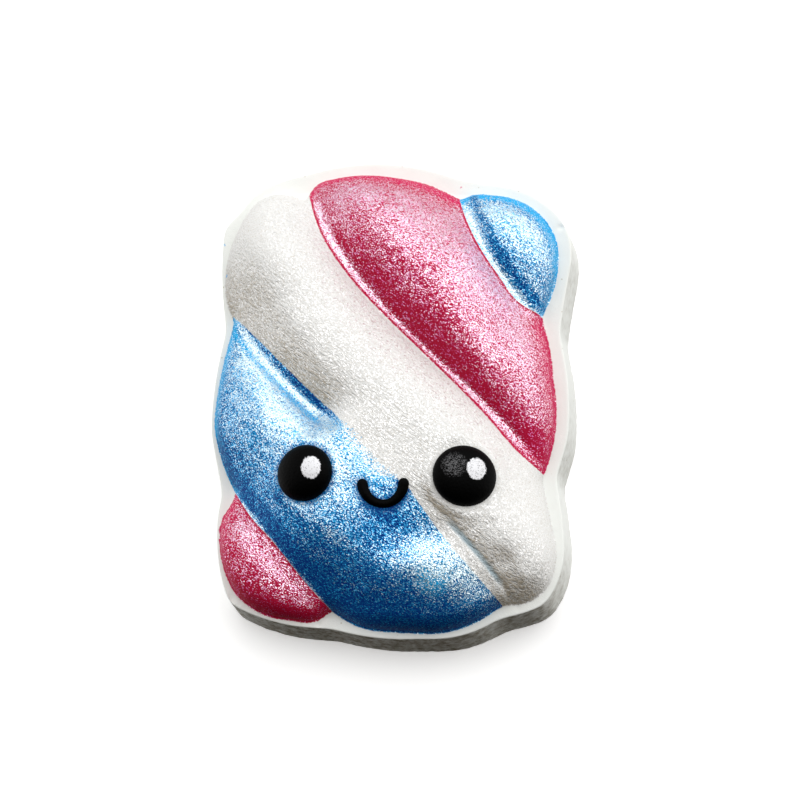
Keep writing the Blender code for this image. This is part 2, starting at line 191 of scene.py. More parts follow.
# The foot of the relief in the same form, with a notch at each end of a groove.
RELIEF_EDGE = [
    (-28.6, 35.8, 0.5), (-24.6, 40.2, 1.3), (-16.4, 38.3, 0.5), (-14.0, 42.8, 0.9),
    (1.6, 42.7, 0.9), (13.6, 37.3, 1.0), (18.7, 38.4, 1.0), (27.8, 34.8, 0.7),
    (31.7, 27.5, 1.1), (28.2, 13.8, 0.5), (30.3, 1.6, 1.5), (27.9, -17.2, 0.0),
    (30.1, -28.6, 0.7), (29.0, -36.9, 1.5), (20.6, -40.1, 1.1), (8.2, -45.3, 0.1),
    (-3.5, -44.4, 0.6), (-11.1, -40.3, 1.4), (-18.0, -42.2, 1.3), (-29.0, -37.1, 1.3),
    (-31.9, -23.4, 0.1), (-28.8, -18.6, 0.8), (-33.6, -4.5, 0.6), (-29.9, 15.4, 0.5),
    (-32.1, 22.4, 1.0),
]
RELIEF_SOFTNESS = 1.5
ARC_STEPS = 24
FLANK_RISE = 3.4
FLANK_WIDTH = 2.4
CROWN_RISE = 9.3
CROWN_WIDTH = 19.0
CROWN_BLUR = 3.0
# The grid on which the crown's depth is blurred: its spacing and reach, and how many of
# its points are worked out together.
FIELD_STEP = 0.5
FIELD_REACH = (42.0, 52.0)
FIELD_EDGE_SPACING = 1.6
JUST_INSIDE = 1.001
BATCH = 4000
# The grooves slant down to the right; each is a cubic in tenths of the way along it.
SLANT = radians(50.0)
GROOVES = [
    (56.0, -0.8, 1.1, 0.10),
    (30.0, -0.8, 1.1, 0.10),
    (10.3, 0.8, 0.16, -0.08),
    (-11.8, 1.4, 0.17, -0.07),
    (-34.4, -0.4, 0.14, 0.00),
    (-60.0, -0.4, 0.14, 0.00),
]
# The share of the height that is left in a groove, and a lobe's profile from the groove
# below it up to its crest and down to the ledge beside the groove above it.
GROOVE_LEVEL = 0.58
CREST_AT = 0.42
LEDGE_AT = 0.93
LEDGE_STEP = 0.06
RISE_POWER = 0.85
FALL_POWER = 2.2
# The face is level across its groove, which fills up over the first stretch along it and
# opens again over the second, to where this share of the fill is left.
FACE_GROOVE = 3
FACE_FILLS = (-5.0, 4.0)
FACE_OPENS = (14.0, 27.0)
FACE_REST = 0.80
# Below the smile a shallow trough leads into the lower end of the third groove: places
# along the slant and across it, and the depth. Its two sides differ in width.
TROUGH_LINE = [
    (15.0, -18.0, 0.0), (18.0, -17.2, 0.5), (20.5, -16.4, 1.0), (23.4, -15.4, 1.6),
    (26.0, -14.2, 1.9), (28.0, -12.5, 1.9), (29.5, -10.9, 1.7), (31.5, -9.0, 1.5),
    (34.7, -8.0, 1.3), (45.0, -8.2, 1.2),
]
TROUGH_WIDTH = (5.5, 6.2)
# The eyes as x, y and radius: the block is flat below each of them and blends into the
# lobe's shape between these distances from its edge.
EYES = {"eye_left": (-14.1, -17.4, 5.2), "eye_right": (15.0, -18.7, 5.6)}
SEAT_EDGE = (0.2, 2.4)
SEAT_SAMPLES = 16
# A narrow crease along the lower end of the third groove.
CREASE_FROM = (27.0, 30.0)
CREASE_DEPTH = 0.35
CREASE_HALF = 0.6
# The fine skin: spacing of its points, which is wider on the rim, and the insets of rings
# of points that follow the foot. A ring's points are kept where they lie nearly their
# inset inside it, and the lattice's where they keep clear of the rings and the rim. The
# rim's own rings are inset and drop.
SKIN_SPACING = 0.38
RIM_SPACING = 1.3 * SKIN_SPACING
FOOT_RINGS = (0.0, 0.14, 0.32, 0.6, 0.95, 1.35, 1.75, 2.15)
RING_KEPT = 0.85
RING_SLACK = 0.001
RING_CLEAR = 0.25
SKIN_CLEAR = 0.6 * SKIN_SPACING
SAME_POINT = 1e-4
RIM_PROFILE = ((0.28, 0.0), (0.17, 0.03), (0.07, 0.09), (0.02, 0.18), (0.0, 0.32))
WALL_STEP = 0.45
DRAFT_FROM = 0.5
# The mould's flaws and the grit of the pressed powder: wavelength, height and seed. They
# fade out towards the rim, and the wall's grit fades in below it.
DIMPLES = (4.5, 0.12, 1)
GRIT = (0.9, 0.035, 2)
WALL_GRIT = (1.1, 0.10, 3)
NOISE_SHIFT = (17.3, -9.1, 5.7)
EDGE_FADE = 2.0
WALL_FADE = 1.0
# Single flaws as x, y, radius and height: pits and chips, and a few lumps.
FLAWS = [
    (32.4, 31.6, 0.5, -0.3), (-30.2, -38.2, 0.7, -0.4), (-24.0, -40.7, 0.5, -0.4),
    (-13.5, -43.3, 0.5, -0.4), (21.5, -33.5, 1.8, -0.45), (24.6, -36.2, 1.3, 0.35),
    (-3.9, -38.7, 0.6, 0.25), (20.0, -26.0, 0.5, 0.2),
]


def arc_edge(corners, spacing, softness):
    """Closed outline through the corners by arcs, evenly spaced and slightly softened."""
    points = []
    for (x0, y0, bulge), (x1, y1, _) in zip(corners, corners[1:] + corners[:1]):
        start, end = np.array((x0, y0)), np.array((x1, y1))
        chord = end - start
        side = np.array((-chord[1], chord[0]))
        for t in np.linspace(0.0, 1.0, ARC_STEPS, endpoint=False):
            points.append(start + t * chord + 4.0 * t * (1.0 - t) * bulge / np.hypot(*chord) * side)
    closed = np.vstack((points, points[:1]))
    run = np.concatenate(([0.0], np.cumsum(np.hypot(*np.diff(closed, axis=0).T))))
    even = np.linspace(0.0, run[-1], int(round(run[-1] / spacing)), endpoint=False)
    points = np.stack([np.interp(even, run, closed[:, k]) for k in (0, 1)], axis=1)
    for _ in range(int(round((softness / spacing) ** 2))):
        points = 0.5 * points + 0.25 * (np.roll(points, 1, axis=0) + np.roll(points, -1, axis=0))
    return points


def outward(points):
    """Unit vectors that point out of a clockwise outline."""
    run = np.roll(points, -1, axis=0) - np.roll(points, 1, axis=0)
    run /= np.hypot(*run.T)[:, None]
    return np.stack((-run[:, 1], run[:, 0]), axis=1)


def depth_inside(points, edge):
    """Distance of each point to the outline, negative outside it."""
    start, run = edge, np.roll(edge, -1, axis=0) - edge
    depth = []
    for part in np.array_split(points, max(1, len(points) // BATCH)):
        offset = part[:, None, :] - start[None, :, :]
        t = np.clip((offset * run).sum(2) / (run * run).sum(1), 0.0, 1.0)
        distance = np.hypot(*(offset - t[..., None] * run).transpose(2, 0, 1)).min(axis=1)
        x, y = part[:, 0:1], part[:, 1:2]
        spans = (start[:, 1] > y) != (start[:, 1] + run[:, 1] > y)
        slope = run[:, 0] / np.where(run[:, 1] == 0.0, 1.0, run[:, 1])
        crossings = spans & (x < start[:, 0] + (y - start[:, 1]) * slope)
        depth.append(np.where(crossings.sum(axis=1) % 2 == 1, distance, -distance))
    return np.concatenate(depth)


@cache
def depth_field():
    """Blurred depth inside the relief's foot on a grid, with the grid's places."""
    x = np.arange(-FIELD_REACH[0], FIELD_REACH[0], FIELD_STEP)
    y = np.arange(-FIELD_REACH[1], FIELD_REACH[1], FIELD_STEP)
    grid = np.stack(np.meshgrid(x, y), axis=2).reshape(-1, 2)
    edge = arc_edge(RELIEF_EDGE, FIELD_EDGE_SPACING, RELIEF_SOFTNESS)
    field = depth_inside(grid, edge).reshape(len(y), len(x))
    for _ in range(int(round(2.0 * (CROWN_BLUR / FIELD_STEP) ** 2))):
        for axis in (0, 1):
            field = 0.5 * field + 0.25 * (np.roll(field, 1, axis) + np.roll(field, -1, axis))
    return x, y, field


def soft_depth(points):
    """Depth inside the relief's foot, blurred so that the crown has no hips at corners."""
    x, y, field = depth_field()
    column = np.clip((points[:, 0] - x[0]) / FIELD_STEP, 0.0, len(x) - JUST_INSIDE)
    row = np.clip((points[:, 1] - y[0]) / FIELD_STEP, 0.0, len(y) - JUST_INSIDE)
    i, j = column.astype(int), row.astype(int)
    u, v = column - i, row - j
    below = (1.0 - u) * field[j, i] + u * field[j, i + 1]
    above = (1.0 - u) * field[j + 1, i] + u * field[j + 1, i + 1]
    return (1.0 - v) * below + v * above


def smooth_step(low, high, value):
    """Nought up to low and one from high on, with a smooth rise between them."""
    t = np.clip((value - low) / (high - low), 0.0, 1.0)
    return t * t * (3.0 - 2.0 * t)


def slant_axes(points):
    """How far each point lies along the slant of the grooves and across it."""
    along = points[:, 0] * cos(SLANT) - points[:, 1] * sin(SLANT)
    across = points[:, 0] * sin(SLANT) + points[:, 1] * cos(SLANT)
    return along, across


def groove_across(groove, along):
    """Where a groove runs across the slant, at places along it."""
    tenth = along / 10.0
    return sum(factor * tenth ** power for power, factor in enumerate(GROOVES[groove]))


def groove_level(groove, along):
    """Share of the pillow's height that is left in a groove, at places along it."""
    level = np.full(len(along), GROOVE_LEVEL)
    if groove == FACE_GROOVE:
        fill = smooth_step(*FACE_FILLS, along)
        fill -= (1.0 - FACE_REST) * smooth_step(*FACE_OPENS, along)
        level += (1.0 - GROOVE_LEVEL) * fill
    return level


def lobe_share(points):
    """Share of the pillow's height that the lobes leave at each point."""
    along, across = slant_axes(points)
    share = np.ones(len(points))
    for upper in range(len(GROOVES) - 1):
        high, low = groove_across(upper, along), groove_across(upper + 1, along)
        inside = (across < high) & (across >= low)
        place = np.clip((across - low) / (high - low), 0.0, 1.0)
        rise = np.sin(0.5 * pi * np.clip(place / CREST_AT, 0.0, 1.0)) ** RISE_POWER
        fall = np.clip((place - CREST_AT) / (LEDGE_AT - CREST_AT), 0.0, 1.0) ** FALL_POWER
        fall = fall * (1.0 - LEDGE_STEP) + LEDGE_STEP * smooth_step(LEDGE_AT, 1.0, place)
        from_low = 1.0 - (1.0 - groove_level(upper + 1, along)) * (1.0 - rise)
        to_high = 1.0 - (1.0 - groove_level(upper, along)) * fall
        share = np.where(inside, from_low * to_high, share)
    return share


def lobed_height(points, edge):
    """Height of the lobes above the slab, nought outside their foot."""
    depth = np.clip(depth_inside(points, edge), 0.0, None)
    flank = np.sqrt(1.0 - np.clip(1.0 - depth / FLANK_WIDTH, 0.0, 1.0) ** 2)
    crown = 1.0 - np.clip(1.0 - soft_depth(points) / CROWN_WIDTH, 0.0, 1.0) ** 2
    along, across = slant_axes(points)
    places, line, depths = np.array(TROUGH_LINE).T
    beside = across - np.interp(along, places, line)
    width = np.where(beside < 0.0, *TROUGH_WIDTH)
    trough = np.interp(along, places, depths) * np.exp(-(beside / width) ** 2)
    return (FLANK_RISE * flank + CROWN_RISE * crown) * lobe_share(points) - trough * flank


def eye_seat(x, y, radius, edge):
    """Height of the lobe at an eye's middle, and its lean to the right and to the top."""
    turns = np.linspace(0.0, 2.0 * pi, SEAT_SAMPLES, endpoint=False)
    around = np.stack((x + radius * np.cos(turns), y + radius * np.sin(turns)), axis=1)
    height = lobed_height(around, edge)
    lean_x = 2.0 * (height * np.cos(turns)).mean() / radius
    lean_y = 2.0 * (height * np.sin(turns)).mean() / radius
    return height.mean(), lean_x, lean_y


def relief_height(points, edge):
    """Height of the relief above the slab, flat under the eyes."""
    height = lobed_height(points, edge)
    for x, y, radius in EYES.values():
        middle, lean_x, lean_y = eye_seat(x, y, radius, edge)
        seat = middle + lean_x * (points[:, 0] - x) + lean_y * (points[:, 1] - y)
        beyond = np.hypot(points[:, 0] - x, points[:, 1] - y) - radius
        height = seat + (height - seat) * smooth_step(*SEAT_EDGE, beyond)
    return height


def rough(points, wavelength, height, seed):
    """Smooth random heights over points in space, with a given wavelength."""
    shift = Vector([seed * part for part in NOISE_SHIFT])
    return np.array([height * noise.noise(Vector(p) / wavelength + shift) for p in points])


rim = arc_edge(SLAB_EDGE, RIM_SPACING, SLAB_SOFTNESS)
rim_out = outward(rim)
foot = arc_edge(RELIEF_EDGE, SKIN_SPACING, RELIEF_SOFTNESS)
top_ring = rim - RIM_PROFILE[0][0] * rim_out

# The top is a net of triangles over the rim's ring, the foot's rings and a lattice.
plan = list(top_ring)
ring_edges = [(i, (i + 1) % len(top_ring)) for i in range(len(top_ring))]
for inset in FOOT_RINGS:
    ring = foot - inset * outward(foot)
    ring = ring[depth_inside(ring, foot) > RING_KEPT * inset - RING_SLACK]
    plan.extend(ring)
rows = np.arange(rim[:, 1].min(), rim[:, 1].max(), SKIN_SPACING * sin(pi / 3.0))
columns = np.arange(rim[:, 0].min(), rim[:, 0].max(), SKIN_SPACING)
lattice = np.array([
    (x + 0.5 * SKIN_SPACING * (row % 2), y) for row, y in enumerate(rows) for x in columns])
lattice = lattice[depth_inside(lattice, top_ring) > SKIN_CLEAR]
lattice_depth = depth_inside(lattice, foot)
lattice = lattice[(lattice_depth > FOOT_RINGS[-1] + RING_CLEAR) | (lattice_depth < -SKIN_CLEAR)]
plan.extend(lattice)
found, _, triangles, origins, _, _ = delaunay_2d_cdt(
    [Vector(point) for point in plan], ring_edges, [list(range(len(top_ring)))], 1, SAME_POINT)
found = np.array([tuple(point) for point in found])
index_of = {source: new for new, sources in enumerate(origins) for source in sources}

top_points = np.column_stack((found, SLAB_HEIGHT + relief_height(found, foot)))
edge_fade = smooth_step(0.0, EDGE_FADE, depth_inside(found, top_ring))
top_points[:, 2] += rough(top_points, *DIMPLES) * edge_fade
top_points[:, 2] += rough(top_points, *GRIT) * edge_fade
along, across = slant_axes(found)
crease = np.exp(-((across - groove_across(FACE_GROOVE, along)) / CREASE_HALF) ** 2)
top_points[:, 2] -= CREASE_DEPTH * crease * smooth_step(*CREASE_FROM, along) * edge_fade
for x, y, radius, lift in FLAWS:
    away = np.hypot(found[:, 0] - x, found[:, 1] - y) / radius
    top_points[:, 2] += lift * np.exp(-away ** 2)

skin = bmesh.new()
top = [skin.verts.new(point * MM) for point in top_points]
for a, b, c in triangles:
    skin.faces.new((top[a], top[b], top[c]))
# The wall goes down from the rim, ring by ring, as inset and drop, and the back closes it.
profile = list(RIM_PROFILE[1:])
rim_drop = profile[-1][1]
steps = int((SLAB_HEIGHT - rim_drop) / WALL_STEP)
for step in range(1, steps + 1):
    drop = rim_drop + (SLAB_HEIGHT - rim_drop) * step / steps
    profile.append((-(drop - DRAFT_FROM) * tan(SLAB_DRAFT), drop))
upper = [top[index_of[i]] for i in range(len(top_ring))]
for inset, drop in profile:
    ring = rim - inset * rim_out
    ring = np.column_stack((ring, np.full(len(ring), SLAB_HEIGHT - drop)))
    grit = rough(ring, *WALL_GRIT) * smooth_step(0.0, WALL_FADE, drop)
    ring[:, :2] += grit[:, None] * rim_out
    lower = [skin.verts.new(point * MM) for point in ring]
    for i in range(len(ring)):
        j = (i + 1) % len(ring)
        skin.faces.new((upper[i], upper[j], lower[j], lower[i]))
    upper = lower
skin.faces.new(upper)
bmesh.ops.recalc_face_normals(skin, faces=skin.faces)

block_mesh = bpy.data.meshes.new("cast_block")
skin.to_mesh(block_mesh)
skin.free()
block_mesh.shade_smooth()
block = bpy.data.objects.new("cast_block", block_mesh)
bpy.context.scene.collection.objects.link(block)
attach(block, "root")
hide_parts("twist_block")

# The block's paints are mica powder brushed on over the dry cast, white first, then pink
# and blue, each up to a line that the brush kept beside a groove. Where each brush line
# runs, as places along the slant and across it:
PINK_UPPER = [
    (-25.0, 37.0), (-18.6, 33.7), (-9.2, 30.5), (-2.0, 29.4), (4.0, 29.1), (7.5, 30.6), (14.0, 35.0)]
WHITE_UPPER = [
    (-48.0, 17.5), (-39.9, 13.3), (-30.5, 9.7), (-20.3, 8.3), (-10.2, 8.4), (0.4, 9.1),
    (16.1, 10.0), (26.2, 10.2), (30.6, 11.1), (36.0, 13.0)]
BLUE_UPPER = [
    (-34.0, -13.0), (-26.6, -12.4), (-16.0, -11.9), (-5.1, -11.1), (0.0, -10.7), (5.6, -11.4),
    (9.3, -11.6), (13.3, -11.3), (17.8, -9.6), (22.0, -9.9), (28.7, -10.5), (44.0, -10.4)]
BLUE_LOWER = [
    (-8.0, -34.0), (-3.6, -34.2), (1.8, -34.7), (8.2, -34.5), (18.8, -34.8), (24.0, -34.6)]
# How far the paints reach past the relief's foot, and the white under its neighbours.
# The wall, below the slab's top, counts as far outside every coat.
PAINT_OVER_FOOT = 0.25
WHITE_UNDER = 0.6
PAINT_ABOVE = SLAB_HEIGHT - 0.5
FAR_OUTSIDE = -5.0
# The blue was brushed out dry between the eyes and the smile: that begins over the first
# stretch along the slant, ends over the second and stays near the blue's upper line.
DRY_FROM = (0.0, 5.0)
DRY_TO = (13.0, 18.0)
DRY_BESIDE = 8.0
# Slips of the brush on the bare slab, as x, y and radius.
PINK_SLIPS = [
    (-30.6, -23.0, 1.3), (-30.6, -25.0, 1.9), (-30.6, -27.0, 1.9), (-30.4, -29.0, 1.6),
    (-30.2, -31.0, 1.4), (2.3, 45.4, 0.2), (13.5, 40.6, 0.2)]
BLUE_SLIPS = [(-32.5, 31.1, 0.25), (-31.7, 24.4, 0.3), (-31.9, 25.6, 0.2)]
# Strips beside the grooves: more flakes on a ledge that faces the light, as painted
# highlight, and fewer on a band next to it, as painted shade. Their groove, shift of the
# strip, half width and how many more or fewer flakes show there.
STRIPS = [
    (1, 0.0, 0.6, 1.0), (1, 1.9, 0.9, -1.0), (2, -0.3, 0.9, 1.0), (3, -0.35, 0.75, 1.3),
    (3, -1.9, 0.6, -1.2), (4, 0.0, 0.35, 1.0), (4, 2.0, 1.4, -0.8)]
STRIP_FADE = (0.6, 1.2)
STRIP_ENDS = {2: (24.0, 29.0), 3: (-4.0, 0.0)}
# In the flake-poor band next to the third groove's ledge a thin film of blue stayed.
FILM = (3, -1.9)
# Patches with more or fewer flakes, which lighten or darken the coat as painted highlight
# and shade: x, y, radius and by how much.
PATCHES = [
    (28.0, -12.5, 5.0, -1.6), (0.5, -27.0, 5.5, -1.5), (9.0, -36.0, 4.2, 1.0),
    (12.5, -33.5, 2.2, 0.5), (16.0, -36.5, 2.2, 0.5), (19.5, -39.0, 2.0, 0.4),
    (-8.0, -16.0, 4.5, 0.55), (-27.0, -21.0, 4.5, -0.2), (-23.5, -9.0, 7.0, 0.5),
    (-24.0, 10.0, 7.0, 0.5), (10.0, 31.0, 5.0, 0.5), (17.0, 22.0, 5.0, 0.4),
    (-9.0, 34.0, 6.0, 0.4)]
# Thinned blue ran down the lower end of the third groove: where it begins and ends along
# the slant, its half width and how it fades beyond that.
WASH_FROM = (27.0, 30.0)
WASH_TO = (40.0, 43.0)
WASH_HALF = 0.55
WASH_FADE = (0.4, 1.3)
# The smile's middle, its reach sideways and down, and the bar's radius at its ends and
# at its bottom. A band round it has no flakes and a darker blue; it is set a little low,
# as painted shade under the smile.
SMILE_CENTRE = (0.35, -19.55)
SMILE_REACH = (3.75, 4.0)
SMILE_BAR = (1.0, 0.78)
SMILE_SAMPLES = 24
BAND_LOW = 0.4


def brush_line(points, along):
    """Across the slant, a smooth curve through the points of a brush line."""
    places, across = np.array(points).T
    slope = np.gradient(across, places)
    k = np.clip(np.searchsorted(places, along) - 1, 0, len(places) - 2)
    span = places[k + 1] - places[k]
    t = np.clip((along - places[k]) / span, 0.0, 1.0)
    return ((1 + 2 * t) * (1 - t) ** 2 * across[k] + t * (1 - t) ** 2 * span * slope[k]
            + t * t * (3 - 2 * t) * across[k + 1] + t * t * (t - 1) * span * slope[k + 1])


def store(mesh, name, values):
    """Keep one number for each point of a mesh, for its material to read."""
    layer = mesh.attributes.new(name, "FLOAT", "POINT")
    layer.data.foreach_set("value", np.asarray(values, dtype=np.float32))


def smile_at(turn):
    """A place on the smile's arc, at a turn round its middle."""
    return SMILE_CENTRE[0] + SMILE_REACH[0] * cos(turn), SMILE_CENTRE[1] + SMILE_REACH[1] * sin(turn)


points = np.empty(3 * len(block_mesh.vertices), np.float32)
block_mesh.vertices.foreach_get("co", points)
points = points.reshape(-1, 3) / MM
x_mm, y_mm = points[:, 0], points[:, 1]
on_foot = depth_inside(points[:, :2], foot) + PAINT_OVER_FOOT
on_foot = np.where(points[:, 2] < PAINT_ABOVE, FAR_OUTSIDE, on_foot)
store(block_mesh, "foot_mm", on_foot)

# How far each point lies inside each coat.
along, across = slant_axes(points[:, :2])
pink_upper, white_upper = brush_line(PINK_UPPER, along), brush_line(WHITE_UPPER, along)
blue_upper, blue_lower = brush_line(BLUE_UPPER, along), brush_line(BLUE_LOWER, along)
pink = np.minimum(pink_upper - across, across - white_upper)
white = np.minimum(white_upper - across, across - blue_upper) + WHITE_UNDER
blue = np.minimum(blue_upper - across, across - blue_lower)
corner_pink = blue_lower - across
corner_blue = across - pink_upper
coats = {
    "white_mm": np.minimum(on_foot, white),
    "pink_mm": np.minimum(on_foot, np.maximum(pink, corner_pink)),
    "blue_mm": np.minimum(on_foot, np.maximum(blue, corner_blue)),
}
for name, slips in (("pink_mm", PINK_SLIPS), ("blue_mm", BLUE_SLIPS)):
    for x, y, radius in slips:
        coats[name] = np.maximum(coats[name], radius - np.hypot(x_mm - x, y_mm - y))
for name, inside in coats.items():
    store(block_mesh, name, inside)

# How many more or fewer flakes show, in strips and patches: painted highlight and shade.
flake_light_shade = np.zeros(len(points))
for groove, shift, half, by in STRIPS:
    away = np.abs(across - groove_across(groove, along) - shift) / half
    strip = by * (1.0 - smooth_step(*STRIP_FADE, away))
    if groove in STRIP_ENDS:
        strip *= 1.0 - smooth_step(*STRIP_ENDS[groove], along)
    flake_light_shade += strip
    if (groove, shift) == FILM:
        store(block_mesh, "film", strip / by)
for x, y, radius, by in PATCHES:
    flake_light_shade += by * np.exp(-((x_mm - x) ** 2 + (y_mm - y) ** 2) / radius ** 2)
store(block_mesh, "flake_light_shade", flake_light_shade)

wash = 1.0 - smooth_step(*WASH_FADE, np.abs(across - groove_across(FACE_GROOVE, along)) / WASH_HALF)
wash *= smooth_step(*WASH_FROM, along) - smooth_step(*WASH_TO, along)
store(block_mesh, "wash", wash)
dry = smooth_step(*DRY_FROM, along) - smooth_step(*DRY_TO, along)
store(block_mesh, "dry", dry * (np.abs(blue_upper - across) < DRY_BESIDE))
# How far each point lies from the eyes and from the smile's band, set low. The flake-free, darker band
# there is painted shade; round the eyes it is partly also the paint's own.
gaps = [np.hypot(x_mm - x, y_mm - y) - radius for x, y, radius in EYES.values()]
for turn in np.linspace(pi, 2.0 * pi, SMILE_SAMPLES):
    x, y = smile_at(turn)
    gaps.append(np.hypot(x_mm - x, y_mm + BAND_LOW - y) - SMILE_BAR[0])
store(block_mesh, "gap_mm", np.min(gaps, axis=0))

# Real flakes and grains are 0.05 to 0.15 mm; these are drawn coarser, so that they show.
GRAIN = 0.20
GRAIN_DEPTH = 0.05
FLAKE = 0.12
FLAKE_LEAN = 0.6
NOISE_MEAN = 0.5
# The brush was drawn down to the right, a little flatter than the grooves, and wavered.
# Its hairs left streaks and its turns left daubs: the size of each in millimetres, how
# much the flakes follow it, and what its coordinates are multiplied by, which draws it
# long in the direction of the stroke.
BRUSH_SLANT = radians(40.0)
BRUSH_STRETCH = 1.9
WAVER_SIZE = 5.0
WAVER = 1.2
STREAK_SIZE, STREAK_GAIN = 0.7, 0.5
STREAK_DRAWN = (0.45, 1.0, 1.0)
DAUB_SIZE, DAUB_GAIN = 2.4, 0.5
DAUB_DRAWN = (0.6, 1.0, 1.0)
FLAKE_LIGHT_SHADE_GAIN = 0.36
# The light comes from the upper right, and flakes are shown where slopes face it, as painted
# highlight, but few on the steepest of them, at the far side. The flanks, the relief's foot
# except at its lower end and a band round the eyes and the smile have none.
LIGHT_FROM = (0.38, 0.925, 0.0)
FLAKE_EDGE = 0.06
FLAKE_FULL = 0.45
STEEP = (0.15, 0.35)
FOOT_CLEAR = (1.6, 2.0)
FOOT_LEAN = -2.2
FOOT_RAG = 1.6
FOOT_LUCK = 3.8
GAP_CLEAR = (-0.2, 1.0)
GAP_RAG = 1.5
FAR_SLOPE = (0.45, 0.80)
FAR_FEWER = 0.6
# A stray flake shows here and there whichever way the slope faces, off the black paint.
STRAY = (0.39, 0.46)
STRAY_CLEAR = (0.3, 1.0)
# The pigment is lighter where the slope faces the light, which is painted light, and at
# the foot, where the coat is thin and the white cast lightens it. Bare pigment is speckled
# too: thin on grains and thick between them.
LIT_SLOPE = (-0.60, 0.35)
LIT_MOST = 0.45
FOOT_THIN = (2.8, 0.6)
FOOT_THIN_LEAN = (-0.6, -0.1)
ON_GRAIN = (0.52, 0.66)
BETWEEN_GRAINS = (0.46, 0.34)
SPECKLE = 0.50
# A coat's edge: how ragged it is, in millimetres, and how sharp.
RAG_SIZE = 0.7
EDGE_RAG = 0.45
EDGE_SHARP = (-0.07, 0.07)

# Pressed powder under brushed mica paint. Bare, it is matte and gritty. Painted, it has
# the dull, deep colour of the pigment, strewn with flakes that flash pale to the light.
painted_powder = bpy.data.materials.new("painted_pressed_powder")
painted_powder.use_nodes = True
coat = painted_powder.node_tree
coat.nodes.clear()
stored = {}
for name in ("white_mm", "pink_mm", "blue_mm", "foot_mm", "gap_mm", "flake_light_shade", "film", "wash", "dry"):
    stored[name] = add_node(coat, "Attribute", attribute_name=name).outputs["Fac"]

coordinates = add_node(coat, "TexCoord").outputs
place_mm = add_node(coat, "VectorMath", {
    0: coordinates["Object"], "Scale": 1.0 / MM}, operation="SCALE")
waver = add_node(coat, "TexNoise", {"Vector": place_mm, "Scale": 1.0 / WAVER_SIZE, "Detail": 1.0})
waver = add_node(coat, "VectorMath", (waver.outputs["Color"], [NOISE_MEAN] * 3), operation="SUBTRACT")
waver = add_node(coat, "VectorMath", {0: waver, "Scale": WAVER}, operation="SCALE")
stroke = add_node(coat, "VectorMath", (place_mm, waver), operation="ADD")
stroke = add_node(coat, "VectorRotate", {
    "Vector": stroke, "Angle": BRUSH_SLANT}, rotation_type="Z_AXIS")
stroke = add_node(coat, "VectorMath", (stroke, (1.0 / BRUSH_STRETCH, 1.0, 1.0)), operation="MULTIPLY")
grain = add_node(coat, "TexNoise", {
    "Vector": stroke, "Scale": 1.0 / GRAIN, "Detail": 2.0, "Roughness": 0.6})
grain_normal = add_node(coat, "Bump", {"Height": grain, "Distance": GRAIN_DEPTH * MM})
rag = add_node(coat, "TexNoise", {
    "Vector": place_mm, "Scale": 1.0 / RAG_SIZE, "Detail": 3.0, "Roughness": 0.7})
rag = add_node(coat, "Math", (rag, NOISE_MEAN), operation="SUBTRACT")
streak = add_node(coat, "VectorMath", (stroke, STREAK_DRAWN), operation="MULTIPLY")
streak = add_node(coat, "TexNoise", {
    "Vector": streak, "Scale": 1.0 / STREAK_SIZE, "Detail": 3.0, "Roughness": 0.6})
streak = add_node(coat, "Math", (streak, NOISE_MEAN), operation="SUBTRACT")
daub = add_node(coat, "VectorMath", (stroke, DAUB_DRAWN), operation="MULTIPLY")
daub = add_node(coat, "TexNoise", {
    "Vector": daub, "Scale": 1.0 / DAUB_SIZE, "Detail": 1.0, "Roughness": 0.5})
daub = add_node(coat, "Math", (daub, NOISE_MEAN), operation="SUBTRACT")

# Each flake lies at its own tilt, and is shown where that turns it towards the light, as
# painted highlight. The tilt's parts also serve as a flake's luck: whether it is there at all.
flake = add_node(coat, "TexVoronoi", {"Vector": stroke, "Scale": 1.0 / FLAKE}).outputs["Color"]
tilt = add_node(coat, "VectorMath", (flake, [NOISE_MEAN] * 3), operation="SUBTRACT")
luck = add_node(coat, "SeparateXYZ", (tilt,)).outputs
flake_normal = add_node(coat, "VectorMath", {0: tilt, "Scale": FLAKE_LEAN}, operation="SCALE")
flake_normal = add_node(coat, "VectorMath", (flake_normal, grain_normal), operation="ADD")
flake_normal = add_node(coat, "VectorMath", (flake_normal,), operation="NORMALIZE")
lean = add_node(coat, "SeparateXYZ", (coordinates["Normal"],)).outputs
# How far the surface faces the light, and how far a flake's tilt and the grain turn it that way.
slope = add_node(coat, "VectorMath", (coordinates["Normal"], LIGHT_FROM), operation="DOT_PRODUCT")
turned = add_node(coat, "VectorMath", (tilt, LIGHT_FROM), operation="DOT_PRODUCT")
facing = add_node(coat, "VectorMath", (grain_normal, LIGHT_FROM), operation="DOT_PRODUCT")
facing = add_node(coat, "Math", (stored["flake_light_shade"], FLAKE_LIGHT_SHADE_GAIN, facing), operation="MULTIPLY_ADD")
facing = add_node(coat, "Math", (streak, STREAK_GAIN, facing), operation="MULTIPLY_ADD")
facing = add_node(coat, "Math", (daub, DAUB_GAIN, facing), operation="MULTIPLY_ADD")

